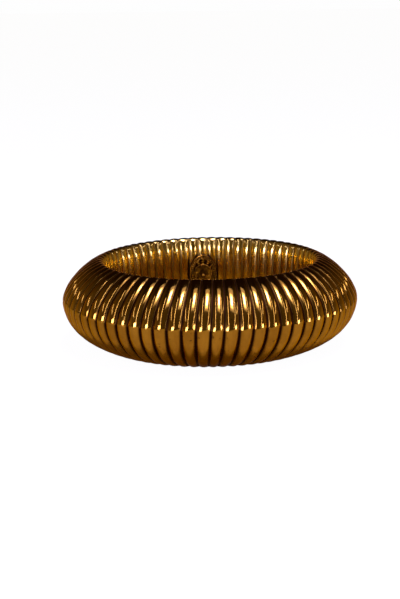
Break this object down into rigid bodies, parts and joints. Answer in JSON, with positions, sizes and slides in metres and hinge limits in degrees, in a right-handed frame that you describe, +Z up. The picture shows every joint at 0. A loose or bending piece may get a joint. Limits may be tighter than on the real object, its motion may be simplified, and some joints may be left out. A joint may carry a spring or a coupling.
{
  "type": "urli bowl",
  "caption": "Wide, low round brass bowl with a hollow, fluted double wall, an open mouth with a rolled rim, and an oval lotus medallion inside the back wall.",
  "frame": {"origin": "centre of the plane that the bowl stands on", "axes": "+Z up along the bowl's axis, +Y towards the side that carries the medallion, +X to the right seen from the front"},
  "size_m": [0.3046, 0.3046, 0.0905],
  "materials": {
    "antiqued_brass": "polished sheet brass with a light antique tone and dark patina in the grooves",
    "plain_brass": "unpolished, slightly dull, inside the hollow wall",
    "dark_brass": "antiqued relief, dark in the recesses and rubbed bright on the high points",
    "soft_solder": "dull grey soft solder"
  },
  "bodies": {
    "root": {"lower_shell": "antiqued_brass", "upper_shell": "antiqued_brass", "inner_wall": "antiqued_brass", "floor_pan": "antiqued_brass", "seam_hoop": "plain_brass", "rim_wire": "plain_brass", "floor_solder": "soft_solder", "medallion_plate": "dark_brass", "medallion_border": "dark_brass", "medallion_beads": "dark_brass", "medallion_lotus": "dark_brass", "medallion_studs": "plain_brass"}
  },
  "joints": []
}
